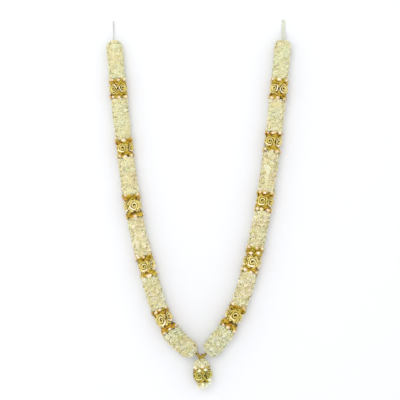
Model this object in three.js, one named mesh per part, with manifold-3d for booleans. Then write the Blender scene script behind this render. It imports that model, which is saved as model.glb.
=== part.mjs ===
// Flower garland laid flat: two strands of cream florets and gold rose bands that meet
// in a point, with a small pendant below. Millimetres, +Z up, the surface at z = 0.
import * as THREE from 'three';
import { mergeVertices } from 'three/addons/utils/BufferGeometryUtils.js';
import Module from 'manifold-3d';

const wasm = await Module();
wasm.setup();

// The strands, strung on a thread
const axisHeight = 17.6;
const pressedHeight = 2;
const seatGap = 0.3;
const threadRadius = 1.2;
const threadStep = 24;
const boreRadius = 2.3;
const boreStep = 24;
const boreSides = 6;

// Cream floret relief: throats, petal tips and the gaps between petals
const throatRadius = 16;
const tipRadius = 20.3;
const gapRadius = 18;
const floretsAround = 18;
const rowPitch = 8;
const petalCurl = 1.5;
const floretScatter = 0.7;
const turnScatter = 0.05;

// Plump buds that ring a cream length beside the gold. Each pair is an inset from the
// length's end and a radius: the buds' crests, the valleys between them, and both on the rim
const budsAround = 10;
const budCrest = [4.2, 21];
const budValley = [6, 14.6];
const rimCrest = [0.2, 14.6];
const rimValley = [0.8, 11.6];
const budReach = 9;
const besideBudGirth = 0.93;

// The strands' own rounded ends
const leftTopRound = 20;
const rightTopRound = 13;
const lowerRound = 14;
const capSides = 9;
const capInset = 1.2;
const capGirth = 0.36;
const roundSteps = [0.22, 0.55];

// Gold bands: a drum with a crown of pointed leaves at both ends. Each pair is an inset
// from the band's end and a height over the drum
const drumRadius = 15;
const drumWaist = 0.5;
const leafReach = 3.2;
const leafTipRadius = 20.4;
const leafGroove = [4.5, 0.4];
const leafRib = [5.5, 3];
const ribValley = [8, -1];
const leafUnderside = [1.9, -2];

// Ribbon roses round each gold band
const roseCount = 5;
const roseRadius = 11.6;
const roseRise = 1.6;
const roseRoot = 9;
const roseHeart = 2.6;

// Where each gold band starts and ends, measured down the strand from its top
const leftBands = [[92, 126], [224, 256.5], [347, 389.5], [484.5, 523.5], [606, 651]];
const rightBands = [[91, 128], [208.5, 244], [341, 375.5], [464.5, 513.5], [598.5, 646]];

// Each band's first rose: its angle round the strand in half turns, how far down the strand
// from the band's middle it sits, and its length along the strand over its width
const leftRoses = [[0.3, 0, 0.95], [0.58, 0, 0.95], [0.45, 0, 1.1], [0.6, 0, 1.05], [0.59, -2, 1.2]];
const rightRoses = [[0.3, 0, 1], [0.64, 0, 1], [0.6, 0, 1], [0.5, 5.5, 1.1], [0.48, -4, 1.15]];

// Centrelines seen from above, as two cubic curves each, from the top to the meeting point
const leftRoute = [
  [[-187, 385.2], [-173, 236], [-156, 29], [-118, -100.5]],
  [[-118, -100.5], [-96, -176], [-84.5, -265.5], [-6, -304.6]],
];
const rightRoute = [
  [[186.2, 385.2], [173, 234], [153, 41], [117, -105.5]],
  [[117, -105.5], [96, -189.5], [73, -254], [17, -305.5]],
];

// The knot's two twisted arms run from the strands' ends to its point
const leftArm = [[[-5.7, -304.8], [-1, -307.3], [2, -313.2], [4.6, -320.9]]];
const rightArm = [[[16.7, -305.8], [12, -309.5], [7.5, -313], [5.4, -320.9]]];
const armCrest = 4.4;
const armGroove = 2.9;
const armTwist = 3.2;
const armSteps = 6;
const armSides = 8;

// The pendant hangs from the knot's point, leaning a little to the right
const pendantRoute = [[[5, -321.6], [10.8, -378]]];
const tuftSpan = [0.6, 15];
const tuftRound = 4;
const tuftGirth = 0.84;
const pendantBand = [15.3, 47];
const pendantDrum = 16.5;
const pendantTips = [21, 18];
const pendantRoses = [0.62, 0, 0.95];

// Long buds that end the pendant, set on a small core
const fringeEnd = 52;
const fringeCore = [9.5, 8];
const fringeBuds = 8;
const fringeSeat = [3.5, 6.5];
const fringeLeans = [0.45, 0.75];
const longBudSections = [[0, 1.8], [4.5, 3], [8.5, 2.5]];
const longBudTip = 11.5;
const longBudSides = 5;

// The loose ends that leave the strands' tops, drop to the surface and lie along it
const tailRadius = 1.5;
const tailSides = 8;
const tailRoute = [
  [-187.0, 385.5, 17.6], [-187.1, 388.5, 17.4], [-187.2, 391.6, 16.6], [-187.3, 394.5, 15.1],
  [-187.4, 397.1, 12.9], [-187.5, 399.4, 10.4], [-187.6, 401.8, 7.7], [-187.7, 404.5, 5.2],
  [-187.8, 407.4, 3.3], [-187.9, 410.6, 2.1], [-188.0, 413.9, 1.7], [-188.1, 417.4, 1.6],
  [-188.2, 421.0, 1.6], [-188.3, 424.5, 1.6], [-188.2, 428.0, 1.6],
];
const ribbonWidth = 8;
const ribbonThickness = 0.8;
const ribbonRoute = [
  [186.3, 385.6, 17.6], [186.4, 389.9, 17.0], [186.5, 393.8, 15.3], [186.6, 397.2, 12.6],
  [186.7, 399.7, 9.1], [186.8, 402.3, 5.5], [186.9, 405.6, 2.9], [187.0, 409.6, 1.3],
  [187.1, 413.9, 0.7], [187.2, 417.4, 0.5], [187.3, 421.0, 0.5], [187.4, 424.4, 0.5],
  [187.4, 427.8, 0.5], [187.5, 431.2, 0.5],
];

const cream = { color: '#e9e2be', roughness: 0.75, metalness: 0 };
const gold = { color: '#c8a544', roughness: 0.38, metalness: 0.55 };
const thread = { color: '#d9d6cb', roughness: 0.8, metalness: 0 };
const satin = { color: '#dfe6cf', roughness: 0.4, metalness: 0 };

const fullTurn = Math.PI * 2;
const garland = new THREE.Group();

// A repeatable stream of numbers from -1 to 1
function seeded(seed) {
  let state = seed;
  return () => {
    state = (state * 1664525 + 1013904223) % 4294967296;
    return (state / 4294967296) * 2 - 1;
  };
}

// A flat route at the strand's height; at() also runs straight on past both ends
class Route {
  constructor(pieces) {
    this.path = new THREE.CurvePath();
    for (const points of pieces) {
      const corners = points.map(([x, y]) => new THREE.Vector3(x, y, axisHeight));
      const isLine = corners.length === 2;
      this.path.add(isLine ? new THREE.LineCurve3(...corners) : new THREE.CubicBezierCurve3(...corners));
    }
    this.length = this.path.getLength();
  }

  at(distance) {
    const inside = Math.min(Math.max(distance, 0), this.length);
    const point = this.path.getPoint(inside / this.length);
    const along = this.path.getTangent(inside / this.length);
    point.addScaledVector(along, distance - inside);
    const side = new THREE.Vector3(-along.y, along.x, 0);
    return { point, along, side, up: new THREE.Vector3(0, 0, 1) };
  }

  // The point at a distance down the route, an angle round it and a radius from it
  place(distance, angle, radius) {
    const { point, side, up } = this.at(distance);
    point.addScaledVector(side, radius * Math.cos(angle));
    return point.addScaledVector(up, radius * Math.sin(angle));
  }
}

const leftStrand = new Route(leftRoute);
const rightStrand = new Route(rightRoute);
const pendantLine = new Route(pendantRoute);

// A ring of points round a route: count of them, each with its own distance and radius
function ring(count, turn, shape) {
  return Array.from({ length: count }, (_, index) => {
    const angle = ((index + turn) / count) * fullTurn;
    return { angle, ...shape(index, angle) };
  });
}

function evenRing(count, distance, radius) {
  return ring(count, 0, () => ({ distance, radius }));
}

// A ring whose points take turns between two places, each a distance and a radius
function zigzagRing(count, even, odd) {
  return ring(count * 2, 0, (index) => {
    const [distance, radius] = index % 2 ? odd : even;
    return { distance, radius };
  });
}

// Triangles between two rings that may differ in count
function joinRings(first, second, startFirst, startSecond, faces) {
  const angleOf = (points, index) => {
    return points[index % points.length].angle + (index >= points.length ? fullTurn : 0);
  };
  let i = 0;
  let j = 0;
  while (i < first.length || j < second.length) {
    const a = startFirst + (i % first.length);
    const b = startSecond + (j % second.length);
    const nextA = i < first.length ? angleOf(first, i + 1) : Infinity;
    const nextB = j < second.length ? angleOf(second, j + 1) : Infinity;
    if (nextA <= nextB) {
      i += 1;
      faces.push(a, startFirst + (i % first.length), b);
    } else {
      j += 1;
      faces.push(a, startSecond + (j % second.length), b);
    }
  }
}

function indexedGeometry(positions, faces) {
  const geometry = new THREE.BufferGeometry();
  geometry.setAttribute('position', new THREE.Float32BufferAttribute(positions, 3));
  geometry.setIndex(faces);
  return outward(geometry);
}

// Turns a closed geometry right side out
function outward(geometry) {
  const at = geometry.attributes.position;
  const index = geometry.index.array;
  const [a, b, c] = [new THREE.Vector3(), new THREE.Vector3(), new THREE.Vector3()];
  let volume = 0;
  for (let face = 0; face < index.length; face += 3) {
    a.fromBufferAttribute(at, index[face]);
    b.fromBufferAttribute(at, index[face + 1]);
    c.fromBufferAttribute(at, index[face + 2]);
    volume += a.dot(b.cross(c));
  }
  if (volume < 0) {
    for (let face = 0; face < index.length; face += 3) {
      [index[face], index[face + 1]] = [index[face + 1], index[face]];
    }
  }
  return geometry;
}

// A closed body round a route with a bore through it: its rings run out over the surface
// and back through the bore, and the lowest points are pressed flat on the surface
function strungBody(route, rings) {
  const positions = [];
  const faces = [];
  const starts = [];
  for (const points of rings) {
    starts.push(positions.length / 3);
    for (const { distance, angle, radius } of points) {
      const corner = route.place(distance, angle, radius);
      positions.push(corner.x, corner.y, corner.z < pressedHeight ? 0 : corner.z);
    }
  }
  rings.forEach((points, index) => {
    const next = (index + 1) % rings.length;
    joinRings(points, rings[next], starts[index], starts[next], faces);
  });
  return indexedGeometry(positions, faces);
}

// The bore's rings between its two ends, from the far one back to the near one
function boreRings(from, to) {
  const steps = Math.max(1, Math.round((to - from) / boreStep));
  return Array.from({ length: steps - 1 }, (_, step) => {
    return evenRing(boreSides, to + ((from - to) * (step + 1)) / steps, boreRadius);
  });
}

// One row of florets: every third point is a throat, the next a petal tip, the next a gap;
// rows are set half a step apart and shifted, so that throats lie on a lattice
function floretRow(row, distance, girth, draw) {
  const radii = [throatRadius, tipRadius, gapRadius];
  const shift = 2 * row - Math.floor(row / 2);
  return ring(floretsAround, row % 2 ? 0.5 : 0, (index, angle) => {
    const kind = (index + shift) % radii.length;
    const isTip = kind === 1;
    return {
      angle: angle + draw() * turnScatter,
      distance: distance + (floretScatter + (isTip ? petalCurl : 0)) * draw(),
      radius: (radii[kind] + draw() * floretScatter) * girth,
    };
  });
}

// The buds at one end of a cream length; inward is +1 at its top end and -1 at its lower end
function budRings(end, inward, girth) {
  const placed = ([inset, radius]) => [end + inward * inset, radius * girth];
  const rings = [
    evenRing(boreSides, end, boreRadius),
    zigzagRing(budsAround, placed(rimValley), placed(rimCrest)),
    zigzagRing(budsAround, placed(budValley), placed(budCrest)),
  ];
  return inward > 0 ? rings : rings.reverse();
}

// A rounded strand end, narrowing over its last stretch
function roundRings(end, inward, reach, girth, draw) {
  const rows = roundSteps.map((part, row) => {
    return floretRow(row, end + inward * reach * part, girth * Math.sqrt(1 - (1 - part) ** 2), draw);
  });
  const cap = evenRing(capSides, end + inward * capInset, girth * tipRadius * capGirth);
  const rings = [evenRing(boreSides, end, boreRadius), cap, ...rows];
  return inward > 0 ? rings : rings.reverse();
}

// A length of cream florets; an end with a rounding is a strand's own end, the others carry buds
function creamLength(route, from, to, seed, { topRound = 0, endRound = 0, girth = 1 } = {}) {
  const draw = seeded(seed);
  const near = topRound ? roundRings(from, 1, topRound, girth, draw) : budRings(from, 1, girth);
  const far = endRound ? roundRings(to, -1, endRound, girth, draw) : budRings(to, -1, girth);
  const start = from + (topRound || budReach);
  const stop = to - (endRound || budReach);
  const rows = Math.max(0, Math.round((stop - start) / rowPitch));
  const florets = Array.from({ length: rows + 1 }, (_, row) => {
    const distance = rows ? start + ((stop - start) * row) / rows : (start + stop) / 2;
    const besideBuds = (row === 0 && !topRound) || (row === rows && !endRound);
    return floretRow(row + 2, distance, girth * (besideBuds ? besideBudGirth : 1), draw);
  });
  return strungBody(route, [...near, ...florets, ...far, ...boreRings(from, to)]);
}

// Solids for joining and cutting
function solidOf(geometry) {
  const bare = geometry.clone();
  bare.deleteAttribute('normal');
  bare.deleteAttribute('uv');
  const merged = mergeVertices(bare, 1e-4);
  return new wasm.Manifold(new wasm.Mesh({
    numProp: 3,
    vertProperties: merged.attributes.position.array,
    triVerts: new Uint32Array(merged.index.array),
  }));
}

function geometryOf(solid) {
  const mesh = solid.getMesh();
  const geometry = new THREE.BufferGeometry();
  geometry.setAttribute('position', new THREE.BufferAttribute(mesh.vertProperties, 3));
  geometry.setIndex(new THREE.BufferAttribute(mesh.triVerts, 1));
  return geometry;
}

// A closed shape from its corners and faces, given in the frame of a point on the strand:
// along the strand, round it and out from it
function localShape(route, distance, angle, corners, faces) {
  const { point, along, side, up } = route.at(distance);
  const out = side.clone().multiplyScalar(Math.cos(angle)).addScaledVector(up, Math.sin(angle));
  const round = side.clone().multiplyScalar(-Math.sin(angle)).addScaledVector(up, Math.cos(angle));
  const positions = corners.flatMap(([a, r, o]) => {
    const corner = point.clone().addScaledVector(along, a);
    return corner.addScaledVector(round, r).addScaledVector(out, o).toArray();
  });
  return indexedGeometry(positions, faces);
}

// A rose: a squarish rim of outer petals, a raised turn of ribbon inside them and a sunk
// heart; stretch is its length along the strand over its width
function rose(route, distance, angle, stretch, base, spin) {
  const layers = [
    { count: 8, radii: [1.06, 0.9], heights: [0.8, -0.4], turn: 0 },
    { count: 8, radii: [0.72, 0.66], heights: [4.8, 3.4], turn: 0.5 },
    { count: 4, radii: [0.46], heights: [2.2], turn: 0.5 },
    { count: 4, radii: [0.3], heights: [5.4], turn: 0 },
  ];
  const corners = [[0, 0, base - roseRoot]];
  const rings = layers.map(({ count, radii, heights, turn }) => {
    const start = corners.length;
    const points = Array.from({ length: count }, (_, index) => {
      const at = ((index + turn) / count) * fullTurn;
      const radius = roseRadius * radii[index % radii.length];
      const height = heights[index % heights.length];
      corners.push([stretch * radius * Math.cos(at + spin), radius * Math.sin(at + spin), base + height]);
      return { angle: at };
    });
    return { start, points };
  });
  const heart = corners.length;
  corners.push([0, 0, base + roseHeart]);
  const faces = [];
  const first = rings[0];
  const last = rings[rings.length - 1];
  first.points.forEach((_, index) => {
    faces.push(0, first.start + ((index + 1) % first.points.length), first.start + index);
  });
  for (let layer = 0; layer + 1 < rings.length; layer += 1) {
    const [inner, outer] = [rings[layer], rings[layer + 1]];
    joinRings(inner.points, outer.points, inner.start, outer.start, faces);
  }
  last.points.forEach((_, index) => {
    faces.push(last.start + index, last.start + ((index + 1) % last.points.length), heart);
  });
  return localShape(route, distance, angle, corners, faces);
}

// What reaches below the surface is cut flat on it
function cutAtSurface(solid) {
  const block = new THREE.BoxGeometry(1000, 1200, 100);
  block.translate(0, 0, 50);
  return solid.intersect(solidOf(block));
}

// The drum's crown of leaves at one end: hub, underside, pointed edge, then ribs and the
// grooves between the leaves
function crownRings(end, inward, drum, tip) {
  const placed = ([inset, height]) => [end + inward * inset, drum + height];
  const rings = [
    evenRing(boreSides, end, boreRadius),
    evenRing(budsAround, ...placed(leafUnderside)),
    zigzagRing(budsAround, [end - inward * leafReach, tip], placed(leafGroove)),
    zigzagRing(budsAround, placed(leafRib), placed(ribValley)),
  ];
  return inward > 0 ? rings : rings.reverse();
}

// A band of roses round the strand; tips are the radii that the leaves reach at its two ends
function goldBand(route, [from, to], [turn, shift, stretch], drum, tips) {
  const middle = (from + to) / 2;
  const body = strungBody(route, [
    ...crownRings(from, 1, drum, tips[0]),
    evenRing(budsAround, middle, drum - drumWaist),
    ...crownRings(to, -1, drum, tips[1]),
    ...boreRings(from, to),
  ]);
  let solid = solidOf(body);
  for (let index = 0; index < roseCount; index += 1) {
    const angle = turn * Math.PI + (index / roseCount) * fullTurn;
    const spin = (0.25 + 0.04 * index) * Math.PI;
    solid = solid.add(solidOf(rose(route, middle + shift, angle, stretch, drum + roseRise, spin)));
  }
  return geometryOf(cutAtSurface(solid));
}

// A long bud that leans out from the route
function longBud(route, distance, angle, out, lean) {
  const bend = ([a, r, o]) => [
    a * Math.cos(lean) - o * Math.sin(lean),
    r,
    out + a * Math.sin(lean) + o * Math.cos(lean),
  ];
  const corners = longBudSections.flatMap(([along, radius]) => {
    return Array.from({ length: longBudSides }, (_, side) => {
      const turn = (side / longBudSides) * fullTurn;
      return bend([along, radius * Math.cos(turn), radius * Math.sin(turn)]);
    });
  });
  const root = corners.length;
  const tip = root + 1;
  corners.push(bend([-1, 0, 0]), bend([longBudTip, 0, 0]));
  const last = (longBudSections.length - 1) * longBudSides;
  const faces = [];
  for (let side = 0; side < longBudSides; side += 1) {
    const next = (side + 1) % longBudSides;
    faces.push(root, next, side, tip, last + side, last + next);
    for (let start = 0; start < last; start += longBudSides) {
      faces.push(start + side, start + next, start + longBudSides + side);
      faces.push(start + next, start + longBudSides + next, start + longBudSides + side);
    }
  }
  return localShape(route, distance, angle, corners, faces);
}

// The pendant's last piece: long buds on a small core
function fringe() {
  const from = pendantBand[1] + seatGap;
  const [seat, out] = fringeSeat;
  const core = strungBody(pendantLine, [
    evenRing(boreSides, from, boreRadius),
    evenRing(fringeBuds, from, fringeCore[0]),
    evenRing(fringeBuds, fringeEnd - 1, fringeCore[1]),
    evenRing(boreSides, fringeEnd, boreRadius),
  ]);
  let solid = solidOf(core);
  for (let index = 0; index < fringeBuds; index += 1) {
    const angle = ((index + 0.5) / fringeBuds) * fullTurn;
    const lean = fringeLeans[index % fringeLeans.length];
    solid = solid.add(solidOf(longBud(pendantLine, from + seat, angle, out, lean)));
  }
  return geometryOf(cutAtSurface(solid));
}

// One twisted arm of the knot, thickest halfway
function knotArm(points) {
  const arm = new Route(points);
  const positions = [];
  const faces = [];
  for (let step = 0; step <= armSteps; step += 1) {
    const part = step / armSteps;
    const girth = 0.8 + 0.35 * Math.sin(Math.PI * part);
    for (let index = 0; index < armSides; index += 1) {
      const angle = (index / armSides) * fullTurn + part * armTwist;
      const radius = girth * (index % 2 ? armGroove : armCrest);
      positions.push(...arm.place(part * arm.length, angle, radius).toArray());
    }
  }
  for (let step = 0; step < armSteps; step += 1) {
    for (let index = 0; index < armSides; index += 1) {
      const here = step * armSides + index;
      const beside = step * armSides + ((index + 1) % armSides);
      faces.push(here, beside, here + armSides, beside, beside + armSides, here + armSides);
    }
  }
  const last = armSteps * armSides;
  for (let index = 1; index < armSides - 1; index += 1) {
    faces.push(0, index + 1, index, last, last + index, last + index + 1);
  }
  return indexedGeometry(positions, faces);
}

function knot() {
  return geometryOf(solidOf(knotArm(leftArm)).add(solidOf(knotArm(rightArm))));
}

// A tube of a given section along a curve
function tube(curve, section, steps) {
  return new THREE.ExtrudeGeometry(section, { steps, bevelEnabled: false, extrudePath: curve });
}

function roundSection(radius, sides) {
  const points = Array.from({ length: sides }, (_, index) => {
    const angle = (index / sides) * fullTurn;
    return new THREE.Vector2(radius * Math.cos(angle), radius * Math.sin(angle));
  });
  return new THREE.Shape(points);
}

function flatSection(width, thickness) {
  const shape = new THREE.Shape();
  shape.moveTo(-width / 2, -thickness / 2);
  shape.lineTo(width / 2, -thickness / 2);
  shape.lineTo(width / 2, thickness / 2);
  shape.lineTo(-width / 2, thickness / 2);
  shape.closePath();
  return shape;
}

// The thread inside a route, from one distance to another
class ThreadCurve extends THREE.Curve {
  constructor(route, from, to) {
    super();
    Object.assign(this, { route, from, to });
  }

  getPoint(part) {
    return this.route.place(this.from + (this.to - this.from) * part, 0, 0);
  }
}

function innerThread(route, from, to) {
  const steps = Math.ceil((to - from) / threadStep);
  return tube(new ThreadCurve(route, from, to), roundSection(threadRadius, boreSides), steps);
}

function looseEnd(points, section) {
  const curve = new THREE.CatmullRomCurve3(points.map((point) => new THREE.Vector3(...point)));
  return tube(curve, section, points.length + 4);
}

function addPiece(name, geometry, material) {
  const mesh = new THREE.Mesh(geometry, new THREE.MeshStandardMaterial(material));
  mesh.name = name;
  garland.add(mesh);
}

// A strand: cream lengths with gold bands between them, and the thread through all of them
function addStrand(side, route, bands, roses, topRound, seed) {
  let from = 0;
  [...bands, [route.length]].forEach(([start, end], index) => {
    const isLast = index === bands.length;
    const rounding = { topRound: index ? 0 : topRound, endRound: isLast ? lowerRound : 0 };
    const to = isLast ? start : start - seatGap;
    addPiece(`cream_${side}_${index + 1}`, creamLength(route, from, to, seed + index, rounding), cream);
    from = end + seatGap;
  });
  bands.forEach((band, index) => {
    const tips = [leafTipRadius, leafTipRadius];
    addPiece(`gold_${side}_${index + 1}`, goldBand(route, band, roses[index], drumRadius, tips), gold);
  });
  addPiece(`thread_${side}`, innerThread(route, 0, route.length), thread);
}

const tuft = creamLength(pendantLine, ...tuftSpan, 83, { topRound: tuftRound, girth: tuftGirth });
const pendant = goldBand(pendantLine, pendantBand, pendantRoses, pendantDrum, pendantTips);

addStrand('left', leftStrand, leftBands, leftRoses, leftTopRound, 11);
addStrand('right', rightStrand, rightBands, rightRoses, rightTopRound, 47);
addPiece('knot_gold', knot(), gold);
addPiece('tuft_cream', tuft, cream);
addPiece('pendant_gold', pendant, gold);
addPiece('fringe_cream', fringe(), cream);
addPiece('thread_pendant', innerThread(pendantLine, 0, fringeEnd), thread);
addPiece('tail_left', looseEnd(tailRoute, roundSection(tailRadius, tailSides)), thread);
addPiece('ribbon_right', looseEnd(ribbonRoute, flatSection(ribbonWidth, ribbonThickness)), satin);

export default garland;
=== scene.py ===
import bmesh
import bpy
from math import atan2, cos, hypot, pi, radians, sin, tau
from random import Random
from mathutils import Matrix, Vector


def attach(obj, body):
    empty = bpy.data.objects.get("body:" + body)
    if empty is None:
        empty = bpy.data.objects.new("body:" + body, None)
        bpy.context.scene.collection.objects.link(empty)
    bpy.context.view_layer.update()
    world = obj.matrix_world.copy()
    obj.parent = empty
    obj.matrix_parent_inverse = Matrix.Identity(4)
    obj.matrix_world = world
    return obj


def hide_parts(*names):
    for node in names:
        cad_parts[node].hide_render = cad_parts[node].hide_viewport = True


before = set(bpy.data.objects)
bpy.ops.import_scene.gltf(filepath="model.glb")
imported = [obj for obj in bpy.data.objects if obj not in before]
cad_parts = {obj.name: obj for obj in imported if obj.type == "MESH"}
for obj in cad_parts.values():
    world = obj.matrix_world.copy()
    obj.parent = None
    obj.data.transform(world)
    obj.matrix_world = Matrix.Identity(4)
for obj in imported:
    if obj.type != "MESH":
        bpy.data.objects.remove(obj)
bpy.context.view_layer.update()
mm = 0.001
quarterTurn = pi / 2
print("frame loaded")

# The garland lies on the floor at z = 0: the camera looks straight down on it
view = {
    "centre": (2.75, 32.1),  # the point under the lens, mm
    "span": 880,  # width of the picture at the strands' height, mm
    "level": 18,  # that height, mm
    "height": 3200,  # the lens over the floor, mm
    "sensor": 36,  # mm
}

bpy.ops.object.select_all(action="DESELECT")
x, y = view["centre"]
bpy.ops.object.camera_add(location=(x * mm, y * mm, view["height"] * mm), rotation=(0, 0, 0))
camera = bpy.context.active_object
camera.data.sensor_width = view["sensor"]
camera.data.lens = view["sensor"] * (view["height"] - view["level"]) / view["span"]
camera.data.clip_end = 20
bpy.context.scene.camera = camera
bpy.context.scene.view_settings.view_transform = "Standard"  # whites stay white


# sRGB hex to linear RGBA
def linearColour(code):
    parts = [int(code[i:i + 2], 16) / 255 for i in (1, 3, 5)]
    return [c / 12.92 if c <= 0.04045 else ((c + 0.055) / 1.055) ** 2.4 for c in parts] + [1]


# One node with its settings; an input is a value, or a node and the name of its output, and the
# steps of a ramp are places and colours, in sRGB hex or linear
def addNode(tree, kind, inputs=None, steps=(), **settings):
    node = tree.nodes.new("ShaderNode" + kind)
    for key, value in settings.items():
        setattr(node, key, value)
    for key, value in (inputs or {}).items():
        if isinstance(value, tuple) and isinstance(value[0], bpy.types.Node):
            tree.links.new(value[0].outputs[value[1]], node.inputs[key])
        else:
            node.inputs[key].default_value = value
    if steps:
        elements = node.color_ramp.elements
        while len(elements) < len(steps):
            elements.new(1)
        for element, (place, colour) in zip(elements, steps):
            element.position = place
            element.color = linearColour(colour) if isinstance(colour, str) else colour
    return node


def newMaterial(name):
    material = bpy.data.materials.new(name)
    material.use_nodes = True
    tree = material.node_tree
    tree.nodes.clear()
    return material, tree


# Colour along a petal or ribbon from its root to its edge, shifted piece by piece by tone,
# and mottled with spots, whose size is in mm
# on gold ribbon, leaves and the knot this value also carries painted shade and painted highlights
def growthColour(tree, steps, spotSize, spotMix, toneMix):
    along = addNode(tree, "Attribute", attribute_name="along")
    tone = addNode(tree, "Attribute", attribute_name="tone")
    place = addNode(tree, "TexCoord")
    spots = addNode(tree, "TexNoise", {"Vector": (place, "Object"), "Scale": 1 / (spotSize * mm),
                                       "Detail": 3, "Roughness": 0.6})
    shift = addNode(tree, "Math", {0: (spots, "Fac"), 1: 0.5}, operation="SUBTRACT")
    shifted = addNode(tree, "Math", {0: (shift, 0), 1: spotMix, 2: (along, "Fac")},
                      operation="MULTIPLY_ADD")
    toned = addNode(tree, "Math", {0: (tone, "Fac"), 1: toneMix, 2: (shifted, 0)},
                    operation="MULTIPLY_ADD")
    return addNode(tree, "ValToRGB", {"Fac": (toned, 0)}, steps), place


# A colour multiplied by a second ramp
def tintedBy(tree, colour, factor, steps):
    hues = addNode(tree, "ValToRGB", {"Fac": factor}, steps)
    tinted = addNode(tree, "Mix", {"Factor": 1.0, 6: (colour, "Color"), 7: (hues, "Color")},
                     data_type="RGBA", blend_type="MULTIPLY")
    return tinted, 2


# Fine relief: the size and depth of its grain in mm
def fineRelief(tree, place, size, strength, detail=2, depth=0.3):
    grain = addNode(tree, "TexNoise", {"Vector": (place, "Object"), "Scale": 1 / (size * mm),
                                       "Detail": detail})
    bump = addNode(tree, "Bump", {"Height": (grain, "Fac"), "Strength": strength,
                                  "Distance": depth * mm})
    return bump, "Normal"


# Cream tuberose petals: fresh, matt and a little waxy; olive at the root, pale at the edge,
# with a slow drift between pinkish and greenish cream, and lengths that blush more than others
def petalMaterial():
    material, tree = newMaterial("tuberosePetal")
    ramp, place = growthColour(
        tree, [(0.0, "#c6bb72"), (0.3, "#e0d692"), (0.6, "#eee8b8"), (1.0, "#faf7e0")],
        spotSize=9, spotMix=0.25, toneMix=0.14)
    drift = addNode(tree, "TexNoise", {"Vector": (place, "Object"), "Scale": 1 / (30 * mm),
                                       "Detail": 1})
    blush = addNode(tree, "Attribute", attribute_name="blush")
    shift = addNode(tree, "Math", {0: (blush, "Fac"), 1: -0.2, 2: (drift, "Fac")},
                    operation="MULTIPLY_ADD")
    skin = tintedBy(tree, ramp, (shift, 0), [(0.18, "#fcf5ed"), (0.4, "#fcfaf1"), (0.6, "#f6fbfa")])
    shader = addNode(tree, "BsdfPrincipled", {
        "Base Color": skin, "Roughness": 0.58, "IOR": 1.45, "Specular IOR Level": 0.35,
        "Sheen Weight": 0.15, "Sheen Roughness": 0.5,
        "Normal": fineRelief(tree, place, 1.2, 0.25)})  # veins
    addNode(tree, "OutputMaterial", {"Surface": (shader, "BSDF")})
    return material


# Closed tuberose buds: smooth wax skin, blushed pink towards the root
def budMaterial():
    material, tree = newMaterial("tuberoseBud")
    ramp, place = growthColour(
        tree, [(0.0, "#a98d4e"), (0.3, "#dcbd8a"), (0.6, "#ebd4ac"), (1.0, "#f5e6c6")],
        spotSize=6, spotMix=0.3, toneMix=0.2)
    shader = addNode(tree, "BsdfPrincipled", {
        "Base Color": (ramp, "Color"), "Roughness": 0.52, "IOR": 1.45,
        "Normal": fineRelief(tree, place, 1.5, 0.15)})
    addNode(tree, "OutputMaterial", {"Surface": (shader, "BSDF")})
    return material


# Gold satin ribbon: metallised polyester, woven fine; darker deep in the folds as painted shade, pale
# on the rolled rim as a painted highlight, and more olive on the pendant
def ribbonMaterial():
    material, tree = newMaterial("goldSatinRibbon")
    ramp, place = growthColour(
        tree, [(0.0, "#604812"), (0.35, "#a58428"), (0.62, "#c8aa3e"), (0.8, "#d8c463"),
               (0.93, "#f4e4a0"), (1.0, "#fdeecb")],
        spotSize=5, spotMix=0.14, toneMix=0.05)
    # its threads, 0.2 mm apart, are too fine to show, so they are drawn coarser
    weave = fineRelief(tree, place, 1.0, 0.2, detail=1, depth=0.2)
    olive = addNode(tree, "Attribute", attribute_name="olive")
    cloth = tintedBy(tree, ramp, (olive, "Fac"), [(0.0, "#ffffff"), (1.0, "#eff9f0")])
    shader = addNode(tree, "BsdfPrincipled", {
        "Base Color": cloth, "Metallic": 0.45, "Roughness": 0.33, "Sheen Weight": 0.2,
        "Sheen Roughness": 0.4, "Normal": weave})
    addNode(tree, "OutputMaterial", {"Surface": (shader, "BSDF")})
    return material


# Gold foil leaves: pressed paper-backed foil, between yellow-green and orange-brown gold, with painted
# shade darkening their roots
def leafMaterial():
    material, tree = newMaterial("goldFoilLeaf")
    ramp, place = growthColour(
        tree, [(0.0, "#3c2d0c"), (0.25, "#9a7c24"), (0.55, "#d2b03c"), (0.85, "#e3c958"),
               (1.0, "#f1e49e")],
        spotSize=6, spotMix=0.35, toneMix=0.08)
    tone = addNode(tree, "Attribute", attribute_name="tone")
    share = addNode(tree, "MapRange", {"Value": (tone, "Fac"), "From Min": -1.0})
    foil = tintedBy(tree, ramp, (share, "Result"),
                    [(0.0, "#ffe4ac"), (0.3, "#fff5c0"), (1.0, "#f3fab0")])
    shader = addNode(tree, "BsdfPrincipled", {
        "Base Color": foil, "Metallic": 0.35, "Roughness": 0.4,
        "Normal": fineRelief(tree, place, 1.6, 0.35)})  # its crackle
    addNode(tree, "OutputMaterial", {"Surface": (shader, "BSDF")})
    return material


# Cotton thread: matt, its plies twisted from short fibres
def threadMaterial():
    material, tree = newMaterial("cottonThread")
    place = addNode(tree, "TexCoord")
    fibres = addNode(tree, "TexNoise", {"Vector": (place, "Object"), "Scale": 1 / (0.8 * mm),
                                        "Detail": 2})
    ramp = addNode(tree, "ValToRGB", {"Fac": (fibres, "Fac")}, [(0.3, "#bbb8af"), (0.7, "#e2dfd6")])
    shader = addNode(tree, "BsdfPrincipled", {
        "Base Color": (ramp, "Color"), "Roughness": 0.85, "Sheen Weight": 0.3,
        "Normal": fineRelief(tree, place, 0.8, 0.4)})
    addNode(tree, "OutputMaterial", {"Surface": (shader, "BSDF")})
    return material


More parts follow.
